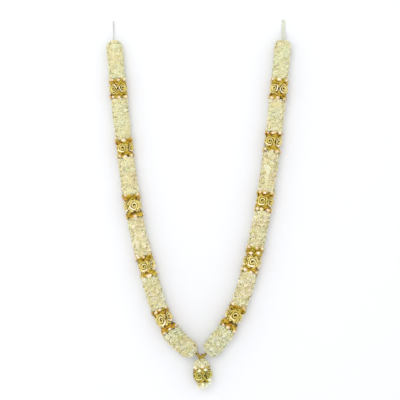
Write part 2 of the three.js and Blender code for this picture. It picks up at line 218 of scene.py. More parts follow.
# Polyester satin ribbon, pale green-white, glossy along its length
def satinMaterial():
    material, tree = newMaterial("paleSatinRibbon")
    place = addNode(tree, "TexCoord")
    # the light and shade of soft folds, painted as lighter and darker patches
    paintedFoldLight = addNode(tree, "TexNoise", {"Vector": (place, "Object"), "Scale": 1 / (7 * mm),
                                       "Detail": 2})
    ramp = addNode(tree, "ValToRGB", {"Fac": (paintedFoldLight, "Fac")}, [(0.3, "#bcc0a8"), (0.7, "#d8dbc8")])
    shader = addNode(tree, "BsdfPrincipled", {
        "Base Color": (ramp, "Color"), "Roughness": 0.32, "Sheen Weight": 0.2})
    addNode(tree, "OutputMaterial", {"Surface": (shader, "BSDF")})
    return material


petalSkin = petalMaterial()
budSkin = budMaterial()
ribbonGold = ribbonMaterial()
leafGold = leafMaterial()
threadCotton = threadMaterial()
satinPale = satinMaterial()
print("materials made")


def deselectAll():
    if bpy.context.mode != "OBJECT":
        bpy.ops.object.mode_set(mode="OBJECT")
    bpy.ops.object.select_all(action="DESELECT")


# One of Blender's own shapes, with nothing else selected
def newObject(add, **settings):
    deselectAll()
    add(**settings)
    return bpy.context.active_object


def applyPlace():
    bpy.ops.object.transform_apply(location=True, rotation=True, scale=True)


def selectOnly(piece):
    deselectAll()
    piece.select_set(True)
    bpy.context.view_layer.objects.active = piece


def selectAll():
    bpy.ops.mesh.select_all(action="SELECT")


def startEdit(piece):
    selectOnly(piece)
    bpy.ops.object.mode_set(mode="EDIT")
    bpy.ops.mesh.select_mode(type="VERT")
    selectAll()


def endEdit():
    bpy.ops.object.mode_set(mode="OBJECT")


# The same for a closed body, whose faces all have to look outwards
def endSolid():
    selectAll()
    bpy.ops.mesh.normals_make_consistent(inside=False)
    endEdit()


# Selects the corners of the piece in edit mode that pass a test on their place
def selectWhere(test):
    data = bpy.context.edit_object.data
    mesh = bmesh.from_edit_mesh(data)
    for vert in mesh.verts:
        vert.select_set(test(vert.co))
    mesh.select_flush_mode()
    bmesh.update_edit_mesh(data)


# transform.rotate turns the other way with no window
def turnSelected(degrees, axis, centre=(0, 0, 0)):
    bpy.ops.transform.rotate(value=-radians(degrees), orient_axis=axis, center_override=centre)


def scaleSelected(x, y, z, centre=(0, 0, 0)):
    bpy.ops.transform.resize(value=(x, y, z), center_override=centre)


def moveSelected(x, y, z):
    bpy.ops.transform.translate(value=(x, y, z))


def extrudeSelected(x, y, z):
    bpy.ops.mesh.extrude_region_move(TRANSFORM_OT_translate={"value": (x, y, z)})


# A disc that faces along the strand, to be extruded down it
def startDisc(sides, radius, x=0, y=0):
    disc = newObject(bpy.ops.mesh.primitive_circle_add, vertices=sides, radius=radius * mm,
                     fill_type="NGON", location=(x * mm, y * mm, 0), rotation=(0, quarterTurn, 0))
    applyPlace()
    startEdit(disc)
    return disc


# A strip along +X, with the share of its width that it has at each station
def startStrip(length, width, steps, across, shares=()):
    strip = newObject(bpy.ops.mesh.primitive_grid_add, x_subdivisions=steps, y_subdivisions=across,
                      size=1)
    startEdit(strip)
    scaleSelected(length, width, 1)
    moveSelected(length / 2, 0, 0)
    for station, share in enumerate(shares):
        at = station * length / steps
        selectWhere(lambda co: abs(co.x - at) < 0.1 * mm)
        scaleSelected(1, share, 1, (at, 0, 0))
    return strip


def applyModifier(piece, kind, **settings):
    selectOnly(piece)
    modifier = piece.modifiers.new(kind.lower(), kind)
    for key, value in settings.items():
        setattr(modifier, key, value)
    bpy.ops.object.modifier_apply(modifier=modifier.name)


def thicken(piece, thickness):
    applyModifier(piece, "SOLIDIFY", thickness=thickness * mm, offset=0)


def smoothOut(piece):
    applyModifier(piece, "SUBSURF", levels=1, render_levels=1)


# Each corner of a model keeps how far along it is, from root 0 to edge 1, and its piece's tone;
# on roses, their folds and the knot the value is painted light and shade instead
def markGrowth(piece, growthOrPaintedLightAt):
    markPiece(piece, "along", 0)
    markPiece(piece, "tone", 0)
    along = piece.data.attributes["along"]
    along.data.foreach_set("value", [growthOrPaintedLightAt(vert.co) for vert in piece.data.vertices])


# One value over a whole piece, for its material to read
def markPiece(piece, name, value):
    mark = piece.data.attributes.get(name) or piece.data.attributes.new(name, "FLOAT", "POINT")
    mark.data.foreach_set("value", [value] * len(piece.data.vertices))


# Takes an object that others are copied from or bent along out of the scene
def putAway(piece):
    for collection in piece.users_collection:
        collection.objects.unlink(piece)


def clamped(value, low=0, high=1):
    return min(high, max(low, value))


# Every model ends here; sharpAngle: edges that bend more than this many degrees stay sharp
def finishModel(piece, name, material, growthOrPaintedLightAt, sharpAngle):
    selectOnly(piece)
    piece.name = name
    piece.data.materials.clear()
    piece.data.materials.append(material)
    bpy.ops.object.shade_smooth_by_angle(angle=radians(sharpAngle))
    markGrowth(piece, growthOrPaintedLightAt)
    putAway(piece)
    return piece


# A random number up to this far from zero
def stray(draw, most):
    return draw.uniform(-most, most)


# The same model put where it belongs, with its own mesh
def copyOf(model, place, tone):
    copy = bpy.data.objects.new(model.name, model.data.copy())
    copy.data.transform(place)
    markPiece(copy, "tone", tone)
    bpy.context.scene.collection.objects.link(copy)
    return copy


def joinCopies(copies, name):
    deselectAll()
    for copy in copies:
        copy.select_set(True)
    bpy.context.view_layer.objects.active = copies[0]
    bpy.ops.object.join()
    piece = bpy.context.active_object
    piece.name = piece.data.name = name
    return piece


petalShape = {"thickness": 0.7, "gutter": 0.8, "root": 0.62, "edge": 1.35}  # mm, share of width


# A petal: a flat closed spindle along +X, hollowed, its outer end curled, then spun into a ring
def petalRing(sides, s):
    length, width = s["length"] * mm, s["width"] * mm
    petal = newObject(bpy.ops.mesh.primitive_uv_sphere_add, segments=sides, ring_count=sides,
                      radius=0.5, rotation=(0, quarterTurn, 0))
    applyPlace()
    startEdit(petal)
    scaleSelected(length, width, petalShape["thickness"] * mm)
    moveSelected(length / 2, 0, 0)
    selectWhere(lambda co: co.x < 0.3 * length)
    scaleSelected(1, petalShape["root"], 1)
    selectWhere(lambda co: 0.7 * length < co.x < 0.95 * length)
    scaleSelected(1, petalShape["edge"], 1)
    selectWhere(lambda co: abs(co.y) < 0.1 * width and co.x > 0.2 * length)
    moveSelected(0, 0, -petalShape["gutter"] * mm)
    selectWhere(lambda co: co.x > 0.6 * length)
    turnSelected(0.55 * s["curl"], "Y", (0.5 * length, 0, 0))
    selectWhere(lambda co: co.x > 0.78 * length or co.z < -1.7 * mm)
    turnSelected(0.45 * s["curl"], "Y", (0.72 * length, 0, -0.8 * mm))
    selectAll()
    turnSelected(s["twist"], "X")
    turnSelected(-s["tilt"], "Y")
    moveSelected(0.5 * mm, 0, 0)
    bpy.ops.mesh.spin(steps=s["petals"] - 1, dupli=True, angle=tau * (s["petals"] - 1) / s["petals"],
                      center=(0, 0, 0), axis=(0, 0, 1))
    endSolid()
    return petal


# Florets: an outer ring of petals and a small closed heart; lengths in mm, angles in degrees
floretSettings = {
    "open": {"length": 5.4, "width": 4.2, "tilt": 40, "twist": 26, "curl": 70, "petals": 5},
    "cupped": {"length": 5.6, "width": 4.4, "tilt": 60, "twist": 22, "curl": 90, "petals": 5},
    "curly": {"length": 6.6, "width": 4.0, "tilt": 56, "twist": -36, "curl": 125, "petals": 5},
    "heart": {"length": 3.9, "width": 3.4, "tilt": 66, "twist": 34, "curl": 30, "petals": 3},
    "small": {"length": 5.0, "width": 4.6, "tilt": 48, "twist": 30, "curl": 60, "petals": 3},
}


def floretModel(name):
    heart = petalRing(3, floretSettings["heart"])
    outer = petalRing(4, floretSettings[name])
    floret = joinCopies([outer, heart], name)
    reach = max(vert.co.length for vert in floret.data.vertices)
    return finishModel(floret, name, petalSkin, lambda co: co.length / reach, 70)


# A small one has no heart and is painted darker, as shade in the gaps between florets where it sits
def smallModel(name):
    length = floretSettings[name]["length"] * mm
    small = petalRing(3, floretSettings[name])
    return finishModel(small, name, petalSkin, lambda co: 0.15 + 0.45 * co.length / length, 70)


budSizes = {"plump": (8.4, 12.5), "slim": (4.4, 14.5)}  # mm wide and long


# A bud: a lobed drop that stands on the strand
def budModel(name, size, material):
    width, length = (side * mm for side in budSizes[size])
    bud = newObject(bpy.ops.mesh.primitive_uv_sphere_add, segments=9, ring_count=6, radius=0.5)
    startEdit(bud)
    scaleSelected(width, width, length)
    moveSelected(0, 0, 0.42 * length)
    selectWhere(lambda co: co.z > 0.6 * length)
    scaleSelected(0.84, 0.84, 1)
    selectWhere(lambda co: co.z > 0.8 * length)
    scaleSelected(0.7, 0.7, 1)
    selectWhere(lambda co: co.z > 0.9 * length)
    moveSelected(0, 0, 0.06 * length)
    selectWhere(lambda co: co.z < 0.2 * length)
    scaleSelected(0.7, 0.7, 1)
    # the seams between its wrapped petals
    selectWhere(lambda co: hypot(co.x, co.y) > 0.1 * width
                and cos(3 * atan2(co.y, co.x)) > 0.9)
    scaleSelected(0.8, 0.8, 1)
    selectWhere(lambda co: co.z > 0.5 * length)
    turnSelected(10, "Y", (0, 0, 0.4 * length))
    endEdit()
    return finishModel(bud, name, material, lambda co: clamped(co.z / (0.8 * length)), 180)


# A pointed leaf: a strip narrowed to a tip, creased down its middle and curled up
leafSettings = {
    "length": 15.5,  # mm
    "width": 17,
    "thickness": 0.6,
    "shape": (0.55, 0.94, 1.0, 0.92, 0.64, 0.06),  # share of the width from root to tip
    "crease": 0.08,  # depth as a share of the width
    "curl": 9,  # degrees at each of three stations
}


def leafModel(name):
    s = leafSettings
    length, width = s["length"] * mm, s["width"] * mm
    leaf = startStrip(length, width, 5, 2, s["shape"])
    selectWhere(lambda co: abs(co.y) < 0.1 * mm and co.x > 0.1 * length)
    moveSelected(0, 0, -s["crease"] * width)
    for station in (2, 3, 4):
        at = station * length / 5
        selectWhere(lambda co: co.x > at + 0.1 * mm)
        turnSelected(-s["curl"], "Y", (at, 0, 0))
    endEdit()
    smoothOut(leaf)
    thicken(leaf, s["thickness"])
    # darkest at the root, as painted shade where the leaves tuck under one another
    return finishModel(leaf, name, leafGold, lambda co: clamped(co.x / length), 60)


# A ribbon rose: a ribbon stood on edge with its rim rolled outwards, wound round the heart;
# the outer turns are pressed towards a square, and its last side is rolled widest and painted palest,
# as a highlight
roseSettings = {
    "turns": 2.2,
    "stepsAround": 16,
    "heart": 0.5,  # radii of the first and the last turn, mm
    "rim": 10.0,
    "square": 0.9,  # how far the outer turns are pressed to a square whose half width is
    "squareHalf": 0.84,  # this share of the round one's
    "drop": 1.4,  # mm that the last turn lies under the heart
    "wave": 0.35,  # mm that its rim rises and falls
    "profile": [(-0.9, 0.0), (-0.6, 2.8), (-0.2, 5.2), (1.0, 6.8), (2.9, 6.2)],  # mm out and up
    "thickness": 0.6,
    "lip": 1.2,  # mm that the last side is rolled further out
    "lipSide": 135,  # where that side lies on the model, degrees
}


# Winds the selected profile round the heart and outwards
def windRibbon(handed):
    s = roseSettings
    steps = round(s["turns"] * s["stepsAround"])
    radius, height = s["heart"], 0
    for step in range(1, steps + 1):
        part = step / steps
        angle = handed * tau * step / s["stepsAround"]
        diagonal = angle - quarterTurn / 2
        flat = s["squareHalf"] / max(abs(cos(diagonal)), abs(sin(diagonal)))
        pressed = s["square"] * min(1, 1.5 * part)
        wanted = (s["heart"] + (s["rim"] - s["heart"]) * part) * (1 + pressed * (flat - 1))
        level = s["wave"] * sin(1.7 * angle) - s["drop"] * part
        extrudeSelected(0, 0, 0)
        turnSelected(handed * 360 / s["stepsAround"], "Z")
        outwards = (wanted - radius) * mm
        moveSelected(outwards * cos(angle), outwards * sin(angle), (level - height) * mm)
        radius, height = wanted, level


def roseModel(name, handed):
    s = roseSettings
    rose = newObject(bpy.ops.mesh.primitive_plane_add, size=1 * mm)
    startEdit(rose)
    bpy.ops.mesh.merge(type="CENTER")
    out, up = s["profile"][0]
    moveSelected((s["heart"] + out) * mm, 0, up * mm)
    for nextOut, nextUp in s["profile"][1:]:
        extrudeSelected((nextOut - out) * mm, 0, (nextUp - up) * mm)
        out, up = nextOut, nextUp
    selectAll()
    windRibbon(handed)
    lipAngle = radians(handed * s["lipSide"])
    lip = Vector((cos(lipAngle), sin(lipAngle)))

    def onLip(co):
        return co.xy.dot(lip) > 0.57 * s["rim"] * mm and co.z > 3.5 * mm
    selectWhere(onLip)
    moveSelected(lip.x * s["lip"] * mm, lip.y * s["lip"] * mm, 0.4 * mm)
    endEdit()
    thicken(rose, s["thickness"])
    smoothOut(rose)
    top, fall = s["profile"][3][1] * mm, s["drop"] / s["rim"]

    # painted light: a painted highlight on the lip and on the inner rims' far side from it, painted
    # shade deeper in the folds
    def paintedRimLightAndFoldShade(co):
        radius = co.xy.length
        paintedShine = 0
        if 1.5 * mm < radius < 0.75 * s["rim"] * mm:
            paintedShine = 0.1 * max(0, -co.xy.dot(lip) / radius)
        depth = clamped((co.z + fall * radius) / top)
        return (0.25 + 0.75 * depth) * (1.0 if onLip(co) else 0.825 + paintedShine)
    return finishModel(rose, name, ribbonGold, paintedRimLightAndFoldShade, 180)


# A folded outer petal of a ribbon rose, cupped, with its rim rolled back
foldSettings = {
    "height": 11,  # mm
    "width": 15,
    "thickness": 0.6,
    "shape": (0.55, 0.95, 1.0, 0.7),  # share of the width from root to rim
    "cup": 0.16,  # depth as a share of the width
    "roll": 75,  # how far the rim is turned back, degrees
    "seat": (4.3, 0, -1.6),  # mm from the rose's root
    "lean": 0.55,  # radians
}


def foldModel(name):
    s = foldSettings
    height, width = s["height"] * mm, s["width"] * mm
    fold = startStrip(height, width, 3, 4, s["shape"])
    selectWhere(lambda co: abs(co.y) > 0.3 * width)
    moveSelected(0, 0, s["cup"] * width)
    selectWhere(lambda co: abs(co.y) < 0.1 * width)
    moveSelected(0, 0, -0.05 * width)
    selectWhere(lambda co: co.x > 0.9 * height)
    turnSelected(s["roll"], "Y", (0.72 * height, 0, 0))
    endEdit()
    thicken(fold, s["thickness"])
    smoothOut(fold)
    # painted shade at the fold's root under the rose, paling to a painted highlight at its rolled rim
    return finishModel(fold, name, ribbonGold, lambda co: 0.4 + 0.55 * clamped(co.x / height), 180)


florets = {name: floretModel(name) for name in ("open", "cupped", "curly")}
smallFloret = smallModel("small")
plumpBud = budModel("plumpBud", "plump", budSkin)
paleBud = budModel("paleBud", "plump", petalSkin)
slimBud = budModel("slimBud", "slim", petalSkin)
goldLeaf = leafModel("goldLeaf")
woundRoses = {1: roseModel("roseLeft", 1), -1: roseModel("roseRight", -1)}
roseFold = foldModel("roseFold")
print("models made")


# Strands: the curves that they follow, seen from above, and where their gold bands lie
strandHeight = 17.6
strandCurves = {
    "left": [[(-187, 385.2), (-173, 236), (-156, 29), (-118, -100.5)],
             [(-118, -100.5), (-96, -176), (-84.5, -265.5), (-6, -304.6)]],
    "right": [[(186.2, 385.2), (173, 234), (153, 41), (117, -105.5)],
              [(117, -105.5), (96, -189.5), (73, -254), (17, -305.5)]],
    "pendant": [[(5, -321.6), (6.93, -340.4), (8.87, -359.2), (10.8, -378)]],
    "leftArm": [[(-5.7, -304.8), (-1, -307.3), (2, -313.2), (4.6, -320.9)]],
    "middleArm": [[(7.4, -306.5), (7.0, -311), (5.8, -316), (5.0, -320.9)]],
    "rightArm": [[(16.7, -305.8), (12, -309.5), (7.5, -313), (5.4, -320.9)]],
}


def newCurve(name, count, resolution):
    curve = newObject(bpy.ops.curve.primitive_bezier_curve_add, location=(0, 0, 0))
    curve.name = name
    curve.data.dimensions = "3D"
    curve.data.twist_mode = "Z_UP"
    curve.data.resolution_u = resolution
    curve.data.splines[0].bezier_points.add(count - 2)
    return curve, curve.data.splines[0]


def routeCurve(name, pieces):
    curve, spline = newCurve(name, len(pieces) + 1, 64)
    corners = [[Vector((x * mm, y * mm, strandHeight * mm)) for x, y in piece] for piece in pieces]
    ends = [piece[0] for piece in corners] + [corners[-1][3]]
    for index, point in enumerate(spline.bezier_points):
        point.handle_left_type = point.handle_right_type = "FREE"
        point.co = ends[index]
        isLast = index == len(corners)
        point.handle_left = corners[index - 1][2] if index else ends[0] * 2 - corners[0][1]
        point.handle_right = ends[-1] * 2 - corners[-1][2] if isLast else corners[index][1]
    length = spline.calc_length()
    putAway(curve)
    return curve, length / mm


routes = {name: routeCurve(name, pieces) for name, pieces in strandCurves.items()}


# A place on a strand that is still straight: distance down it, angle round it, radius from it;
# lean tips the piece's top towards the strand's lower end
def onStrand(distance, angle, radius, spin=0.0, lean=0.0, side=0.0, size=1.0):
    place = Matrix.Translation(
        (distance * mm, radius * mm * cos(angle), radius * mm * sin(angle)))
    turned = place @ Matrix.Rotation(angle - quarterTurn, 4, "X")
    tipped = turned @ Matrix.Rotation(lean, 4, "Y") @ Matrix.Rotation(side, 4, "X")
    return tipped @ Matrix.Rotation(spin, 4, "Z") @ Matrix.Scale(size, 4)


# What reaches below the floor is pressed nearly flat just above it, and the strand is bent to
# its curve
pressedLayer = {"top": 0.25, "flattened": 0.03}  # mm over the floor, and the depth's share left


def layDown(piece, route):
    pressedTop = (pressedLayer["top"] - strandHeight) * mm
    startEdit(piece)
    selectWhere(lambda co: co.z < pressedTop)
    scaleSelected(1, 1, pressedLayer["flattened"], (0, 0, pressedTop))
    endEdit()
    applyModifier(piece, "CURVE", object=routes[route][0], deform_axis="POS_X")


def standFor(piece, slot, *names):
    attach(piece, "root")
    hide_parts(*names)


# A solid of revolution along the strand, extruded ring by ring
def turnedBody(stations, sides, material, tint):
    distance, radius = stations[0]
    body = startDisc(sides, radius, distance)
    for nextDistance, nextRadius in stations[1:]:
        extrudeSelected((nextDistance - distance) * mm, 0, 0)
        scaleSelected(1, nextRadius / radius, nextRadius / radius, (nextDistance * mm, 0, 0))
        distance, radius = nextDistance, nextRadius
    endSolid()
    body.data.materials.append(material)
    markGrowth(body, lambda co: tint)
    return body


# Loose ends at the strands' tops, along the same points as their solids: out of the florets,
# down to the floor and along it
tailPoints = [
    (-187.0, 385.5, 17.6), (-187.1, 388.5, 17.4), (-187.2, 391.6, 16.6), (-187.3, 394.5, 15.1),
    (-187.4, 397.1, 12.9), (-187.5, 399.4, 10.4), (-187.6, 401.8, 7.7), (-187.7, 404.5, 5.2),
    (-187.8, 407.4, 3.3), (-187.9, 410.6, 2.1), (-188.0, 413.9, 1.7), (-188.1, 417.4, 1.6),
    (-188.2, 421.0, 1.6), (-188.3, 424.5, 1.6), (-188.2, 428.0, 1.6),
]
ribbonPoints = [
    (186.3, 385.6, 17.6), (186.4, 389.9, 17.0), (186.5, 393.8, 15.3), (186.6, 397.2, 12.6),
    (186.7, 399.7, 9.1), (186.8, 402.3, 5.5), (186.9, 405.6, 2.9), (187.0, 409.6, 1.3),
    (187.1, 413.9, 0.7), (187.2, 417.4, 0.5), (187.3, 421.0, 0.5), (187.4, 424.4, 0.5),
    (187.4, 427.8, 0.5), (187.5, 431.2, 0.5),
]
threadSettings = {"plyRadius": 0.8, "plySeat": 0.68, "pitch": 9.0, "step": 0.9}  # mm
satinSettings = {"width": 7.8, "thickness": 0.6, "selvedge": 0.25, "step": 0.9}


def looseCurve(name, points):
    curve, spline = newCurve(name, len(points), 12)
    for bezier, point in zip(spline.bezier_points, points):
        bezier.co = Vector(point) * mm
        bezier.handle_left_type = bezier.handle_right_type = "AUTO"
    bpy.context.view_layer.update()
    length = spline.calc_length()
    putAway(curve)
    return curve, length / mm


def declareEnd(piece, node, slot):
    standFor(piece, slot, node)


# Two plies twisted round each other
def threadTail():
    s = threadSettings
    routes["tail"] = looseCurve("tail", tailPoints)
    length = routes["tail"][1]
    steps = round(length / s["step"])
    plies = []
    for side in (-1, 1):
        ply = startDisc(7, s["plyRadius"], 0, side * s["plySeat"])
        for step in range(steps):
            extrudeSelected(length / steps * mm, 0, 0)
            turnSelected(360 * s["step"] / s["pitch"], "X")
        endSolid()
        ply.data.materials.append(threadCotton)
        bpy.ops.object.shade_smooth_by_angle(angle=radians(60))
        plies.append(ply)
    tail = joinCopies(plies, "threadTail")
    applyModifier(tail, "CURVE", object=routes["tail"][0], deform_axis="POS_X")
    declareEnd(tail, "tail_left", "thread")


# A flat woven ribbon with thicker edges, its end cut to a shallow swallowtail
def satinRibbon():
    s = satinSettings
    routes["ribbon"] = looseCurve("ribbon", ribbonPoints)
    length, width = routes["ribbon"][1] * mm, s["width"] * mm
    ribbon = startStrip(length, width, round(length / mm / s["step"]), 8)
    selectWhere(lambda co: abs(co.y) > 0.45 * width)
    moveSelected(0, 0, s["selvedge"] * mm)
    selectWhere(lambda co: co.x > 0.99 * length and abs(co.y) < 0.3 * width)
    moveSelected(-0.6 * mm, 0, 0)
    selectWhere(lambda co: co.x > 0.97 * length and abs(co.y) < 0.15 * width)
    moveSelected(-0.6 * mm, 0, 0)
    endEdit()
    thicken(ribbon, s["thickness"])
    ribbon.data.materials.append(satinPale)
    bpy.ops.object.shade_smooth_by_angle(angle=radians(50))
    ribbon.name = ribbon.data.name = "satinRibbon"
    applyModifier(ribbon, "CURVE", object=routes["ribbon"][0], deform_axis="POS_X")
    declareEnd(ribbon, "ribbon_right", "satin")


threadTail()
satinRibbon()
print("loose ends made")

creamSettings = {
    "rowPitch": 5.0,  # mm between rows of florets
    "roundPitch": 6.2,  # mm between florets in a row
    "seatRadius": 18.0,  # where the pitch round the strand is measured
    "domePitch": 3.6,  # mm along the strand for each row on a rounded end
    "domeRadius": 20.0,  # and the rounding's radius and how far the rows follow its slope
    "domeLean": 0.9,
    "rowPair": 0.5,  # rows close up in pairs by this much, mm
    "rowLean": 0.28,  # and lean together, radians
    "wave": 1.1,  # each row wanders along the strand by this much, mm
    "rootRadius": 14.3,  # where the florets stand
    "petalReach": 4.5,  # how far their petals reach from there, mm
    "floretSize": (0.9, 1.16),
    "smallShare": 0.8,  # share of the gaps between florets that hold a small one
    "smallSize": (0.9, 1.15),
    "oldShare": 0.008,  # share of florets that have turned olive
    "oldTone": -3,
    "brighter": 0.3,  # lengths whose florets differ in tone are lifted by this share of it
    "coreRadius": 15.0,  # the core under the florets
    "coreStep": 4.0,
    "coreSides": 26,
    "coreEnds": [(0.25, 0.8, 4.0), (0.6, 2.5, 10.5)],  # share of a rounding or mm inside, radius
    "crumple": 0.9,  # how far the core's surface is crumpled, mm
    "coreTint": 0.4,  # where the core's colour lies between a petal's root and its edge
    "buds": 8,  # round each border with the gold
    "budReach": 8.0,  # mm from the border that the buds take up
    "budInset": 1.9,  # mm from the border, give or take budStray
    "budStray": 1.4,
    "budRadius": 14.8,
    "budSize": (0.76, 1.06),
    "budTone": (-2, 1),
    "gapInset": 5.2,  # and the florets behind the gaps between two buds
    "gapRadius": 13.2,
}
seatGap = 0.3  # mm between a length and a band


# Rows of florets along a length: distance, share of full girth, and lean at a rounded end
def floretRows(start, end, topRound, endRound):
    s = creamSettings
    first = start + max(topRound, s["budReach"])
    last = end - max(endRound, s["budReach"])
    count = max(1, round((last - first) / s["rowPitch"]))
    rows = [(first + (last - first) * row / count, 1.0, 0.0) for row in range(count + 1)]
    for reach, edge, way in ((topRound, start, -1), (endRound, end, 1)):
        steps = round(reach / s["domePitch"])
        for step in range(steps):
            swing = (step + 0.15) / steps * quarterTurn
            depth = (reach - s["petalReach"]) * (1 - cos(swing)) + s["petalReach"]
            slope = atan2(s["domeRadius"] * cos(swing), reach * sin(swing))
            rows.append((edge - way * depth, sin(swing), way * slope * s["domeLean"]))
    return rows


# The crumpled core of a length, from its rounded or flat top to its other end
def floretCore(start, end, topRound, endRound, girth, seed):
    s = creamSettings
    low, high = start + (topRound or s["budReach"]), end - (endRound or s["budReach"])
    steps = max(2, round((end - start) / s["coreStep"]))
    core = [(start + (topRound * share or inset), radius) for share, inset, radius in s["coreEnds"]]
    core += [(low + (high - low) * step / steps, s["coreRadius"]) for step in range(steps + 1)]
    core += [(end - (endRound * share or inset), radius)
             for share, inset, radius in reversed(s["coreEnds"])]
    body = turnedBody([(distance, radius * girth) for distance, radius in core], s["coreSides"],
                      petalSkin, s["coreTint"])
    startEdit(body)
    bpy.ops.transform.vertex_random(offset=s["crumple"] * mm, seed=seed)
    endEdit()
    return body


# Buds round a length's border with the gold, and a floret behind each gap between two of them
def borderBuds(edge, way, girth, draw):
    s = creamSettings
    buds = []
    for index in range(s["buds"]):
        angle = (index + draw.uniform(0.3, 0.7)) / s["buds"] * tau
        place = onStrand(edge + way * (s["budInset"] + stray(draw, s["budStray"])),
                         angle, (s["budRadius"] + stray(draw, 0.5)) * girth,
                         spin=draw.uniform(0, tau), lean=-way * draw.uniform(0.1, 0.4),
                         side=draw.choice((-1, 1)) * draw.uniform(1.0, 1.4),
                         size=draw.uniform(*s["budSize"]))
        buds.append(copyOf(plumpBud, place, draw.uniform(*s["budTone"])))
        place = onStrand(edge + way * s["gapInset"], angle + 0.5 * tau / s["buds"],
                         s["gapRadius"] * girth, spin=draw.uniform(0, tau), lean=-way * 0.5,
                         size=draw.uniform(0.8, 1.0))
        buds.append(copyOf(florets["cupped"], place, stray(draw, 1)))
    return buds


# A length of florets with buds at its borders; look is a row of creamLooks
def creamLength(name, node, route, start, end, seed, look, topRound=0, endRound=0, girth=1.0):
    s = creamSettings
    blush, vary, size, curly, ragged = look
    draw = Random(seed)
    parts = [floretCore(start, end, topRound, endRound, girth, seed)]
    for row, (distance, share, lean) in enumerate(floretRows(start, end, topRound, endRound)):
        count = max(3, round(tau * s["seatRadius"] * share * girth / s["roundPitch"] / size))
        way = 1 if row % 2 else -1
        for index in range(count):
            angle = (index + 0.5 * (row % 2) + stray(draw, 0.16)) / count * tau
            radius = (s["rootRadius"] * share + draw.uniform(-0.6, 0.9) * ragged) * girth
            wander = (s["wave"] * sin(3 * angle + 0.5 * row) - way * s["rowPair"]
                      + stray(draw, 0.8))
            place = onStrand(distance + wander * share, angle, max(radius, 1),
                             spin=draw.uniform(0, tau),
                             lean=lean - way * s["rowLean"] + stray(draw, 0.35),
                             side=stray(draw, 0.4), size=size * draw.uniform(*s["floretSize"]))
            kind = "curly" if draw.random() < curly else draw.choice(("open", "cupped"))
            if draw.random() < s["oldShare"]:
                tone = s["oldTone"]
            else:
                tone = stray(draw, vary) + s["brighter"] * (vary - 0.5)
            parts.append(copyOf(florets[kind], place, tone))
            # small florets fill in between, except underneath
            gap = angle + pi / count
            if share > 0.2 and sin(gap) > -0.6 and draw.random() < s["smallShare"]:
                between = distance + wander * share + 0.5 * s["rowPitch"] * (share == 1.0)
                place = onStrand(between, gap, (s["coreRadius"] * share - 0.6) * girth,
                                 spin=draw.uniform(0, tau), lean=lean + stray(draw, 0.3),
                                 size=size * draw.uniform(*s["smallSize"]))
                parts.append(copyOf(smallFloret, place, stray(draw, vary)))
    if not topRound:
        parts += borderBuds(start, 1, girth, draw)
    if not endRound:
        parts += borderBuds(end, -1, girth, draw)
    piece = joinCopies(parts, name)
    markPiece(piece, "blush", blush)
    layDown(piece, route)
    standFor(piece, "cream", node)


goldSettings = {
    # the drum under the roses is painted dark, as the shade in the gaps between roses and leaves
    "drumRadius": 12.5,  # the body under the roses
    "drumSides": 16,
    "roses": 5,
    "roseSeat": 13.6,
    "roseHalf": 11.5,  # half a rose's length along the strand, mm
    "sidePress": 2.4,  # the roses at the strand's sides are pressed in by up to this much, mm
    "leaves": 7,  # in each crown
    "leafRoot": 12.6,  # radius at which a leaf starts, mm
    "leafLift": 0.44,  # radians
    "leafSize": (0.92, 1.06),
    "crowns": [(8.5, 0.0, 1.0), (12.0, 0.14, 0.86)],  # how far inside it starts, added lift, size
    "thirdRoom": 13.0,  # a third crown fills more room than this between edge and roses
    "lipStray": 40,  # how far the lips that aren't given may turn, degrees
}


# The crowns of leaves at one end of a band that has this much room between edge and roses
def leafCrowns(room):
    outer, inner = goldSettings["crowns"]
    if room <= goldSettings["thirdRoom"]:
        return [outer, inner]
    return [outer, (room + 1.5, 0.1, 0.9), ((room + outer[0]) / 2 + 0.5, 0.0, 0.95)]


# The leaves at one end of a band; rise is how steeply they stand
def bandLeaves(edge, way, crowns, turn, rise, size, drum, draw):
    s = goldSettings
    leaves = []
    for layer, (inset, lift, share) in enumerate(crowns):
        for index in range(s["leaves"]):
            angle = (index + 0.5 * layer + stray(draw, 0.12)) / s["leaves"] * tau
            # under a rose's lip leaves are left out, so the drum's painted shade shows there as a dark
            # gap
            offRose = (angle / tau * s["roses"] - turn * s["roses"] / 2 + 0.5) % 1 - 0.5
            if way < 0 and layer == 1 and abs(offRose) < 0.22:
                continue
            flip = pi if way > 0 else 0
            tip = (s["leafLift"] + lift) * rise
            place = onStrand(edge + way * inset, angle, s["leafRoot"] * drum)
            place = place @ Matrix.Rotation(flip + stray(draw, 0.15), 4, "Z")
            place = place @ Matrix.Rotation(-tip + stray(draw, 0.08), 4, "Y")
            place = place @ Matrix.Scale(size * share * draw.uniform(*s["leafSize"]), 4)
            leaves.append(copyOf(goldLeaf, place, stray(draw, 1)))
    return leaves


# Roses round a band, each on four folded petals
def bandRing(middle, turn, stretch, lips, drum, press, shade, draw):
    s = goldSettings
    out = Matrix.Translation(Vector(foldSettings["seat"]) * mm)
    out = out @ Matrix.Rotation(-foldSettings["lean"], 4, "Y")
    ring = []
    for index in range(s["roses"]):
        angle = (turn + 2 * index / s["roses"]) * pi
        handed = 1 if index % 2 else -1
        seat = (s["roseSeat"] - s["sidePress"] * press * abs(cos(angle))) * drum
        place = onStrand(middle, angle, seat, side=stray(draw, 0.08))
        place = place @ Matrix.Diagonal((stretch, 1, 1, 1))
        tone = stray(draw, 1) + shade
        lip = lips[index] if index < len(lips) else stray(draw, s["lipStray"])
        spin = Matrix.Rotation(radians(lip - handed * roseSettings["lipSide"]), 4, "Z")
        ring.append(copyOf(woundRoses[handed], place @ spin, tone))
        for corner in range(4):
            towards = (corner + 0.5) * quarterTurn + stray(draw, 0.1)
            ring.append(copyOf(roseFold, place @ Matrix.Rotation(towards, 4, "Z") @ out, tone))
    return ring


